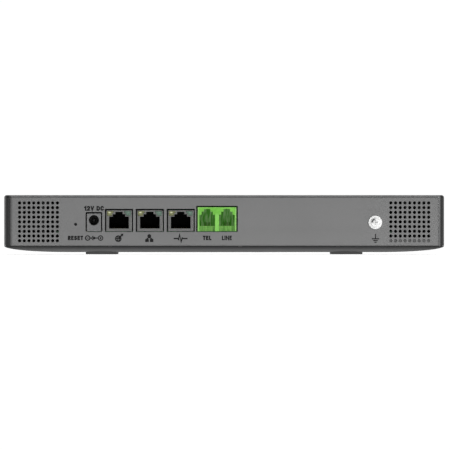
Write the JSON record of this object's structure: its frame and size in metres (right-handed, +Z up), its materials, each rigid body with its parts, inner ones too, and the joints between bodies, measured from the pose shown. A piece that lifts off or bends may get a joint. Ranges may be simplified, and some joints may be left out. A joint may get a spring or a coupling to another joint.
{
  "type": "voip telephone gateway",
  "caption": "Low wide desktop network box with a rear port panel, network and telephone jacks, ground screw, vent grids and a front display with push keys.",
  "frame": {"origin": "on the table under the middle of the box's bounding box", "axes": "+Z up; the port panel faces -Y and the display faces +Y; +X is to the right of somebody looking at the port panel"},
  "size_m": [0.27, 0.1772, 0.0364],
  "materials": {
    "case_plastic": "fine moulded texture, satin",
    "base_plastic": "fine moulded texture, satin",
    "panel_paint": "powder coat, satin",
    "fascia_gloss": "gloss",
    "display_cover": "clear, smoked",
    "display_glass": "lcd glass",
    "backlight": "matte white",
    "circuit_board": "solder mask",
    "ribbon": "flat film cable",
    "rubber": "matte",
    "key_rubber": "satin",
    "switch_plastic": "matte",
    "plunger_plastic": "matte",
    "light_guide": "clear acrylic",
    "status_led": "led package",
    "amber_lamp": "led",
    "green_lamp": "led",
    "jack_shield": "nickel plated",
    "jack_insert": "matte black",
    "gold_contact": "gold plated",
    "phone_jack_green": "translucent green",
    "dc_jack_plastic": "moulded",
    "bright_nickel": "bright nickel",
    "zinc_steel": "zinc plated",
    "chip_epoxy": "moulded epoxy",
    "relay_plastic": "moulded",
    "ferrite": "ferrite",
    "thermal_pad": "soft",
    "anodised": "black anodised",
    "capacitor_can": "bare can",
    "holder_plastic": "matte",
    "coin_steel": "steel"
  },
  "bodies": {
    "chassis": {"amber_port_lamps": "amber_lamp", "base_shell": "base_plastic", "battery_holder": "holder_plastic", "board_screws": "zinc_steel", "capacitors": "capacitor_can", "card_socket": "jack_shield", "case_screws": "zinc_steel", "clock_battery": "coin_steel", "dc_jack_housing": "dc_jack_plastic", "dc_jack_pin": "bright_nickel", "dc_jack_spring": "bright_nickel", "display_backlight": "backlight", "display_board": "circuit_board", "display_glass": "display_glass", "display_ribbon": "ribbon", "display_window": "display_cover", "ethernet_chip": "chip_epoxy", "fascia_plate": "fascia_gloss", "flash_memory": "chip_epoxy", "front_bezel": "case_plastic", "front_board": "circuit_board", "front_ribbon": "ribbon", "green_port_lamps": "green_lamp", "ground_nut": "zinc_steel", "heartbeat_jack_contacts": "gold_contact", "heartbeat_jack_insert": "jack_insert", "heartbeat_jack_shield": "jack_shield", "heatsink": "anodised", "key_switches": "switch_plastic", "lan_jack_contacts": "gold_contact", "lan_jack_insert": "jack_insert", "lan_jack_shield": "jack_shield", "light_guide": "light_guide", "line_interface_chips": "chip_epoxy", "line_relays": "relay_plastic", "main_board": "circuit_board", "memory_chips": "chip_epoxy", "panel_screws": "zinc_steel", "phone_jack_contacts": "gold_contact", "phone_jack_housing": "phone_jack_green", "power_coils": "ferrite", "processor": "chip_epoxy", "rear_panel": "panel_paint", "reset_switch": "switch_plastic", "ribbon_sockets": "jack_insert", "rubber_feet": "rubber", "status_leds": "status_led", "thermal_pad": "thermal_pad", "top_cover": "case_plastic", "usb_port_shell": "jack_shield", "usb_port_tongue": "jack_insert", "wan_jack_contacts": "gold_contact", "wan_jack_insert": "jack_insert", "wan_jack_shield": "jack_shield"},
    "ok_key": {"ok_key": "key_rubber"},
    "down_key": {"down_key": "key_rubber"},
    "reset_plunger": {"reset_plunger": "plunger_plastic"},
    "ground_washer": {"ground_washer": "bright_nickel"},
    "ground_screw": {"ground_screw": "bright_nickel"}
  },
  "joints": [
    {"name": "ok_key_press", "type": "slide", "parent": "chassis", "child": "ok_key", "axis": [0, -1, 0], "range_m": [0, 0.0003], "stiffness_N_per_m": 200},
    {"name": "down_key_press", "type": "slide", "parent": "chassis", "child": "down_key", "axis": [0, -1, 0], "range_m": [0, 0.0003], "stiffness_N_per_m": 200},
    {"name": "reset_press", "type": "slide", "parent": "chassis", "child": "reset_plunger", "axis": [0, 1, 0], "range_m": [0, 0.0003], "stiffness_N_per_m": 10},
    {"name": "ground_washer_slide", "type": "slide", "parent": "chassis", "child": "ground_washer", "axis": [0, -1, 0], "range_m": [0, 0.002]},
    {"name": "ground_screw_turn", "type": "hinge", "parent": "ground_washer", "child": "ground_screw", "pos_m": [0.0928, -0.0868, 0.01965], "axis": [0, -1, 0], "range_deg": [0, 1441]}
  ],
  "couplings": [
    {"joint": "ground_screw_turn", "follows": "ground_washer_slide", "rad_per_m": 12566}
  ]
}
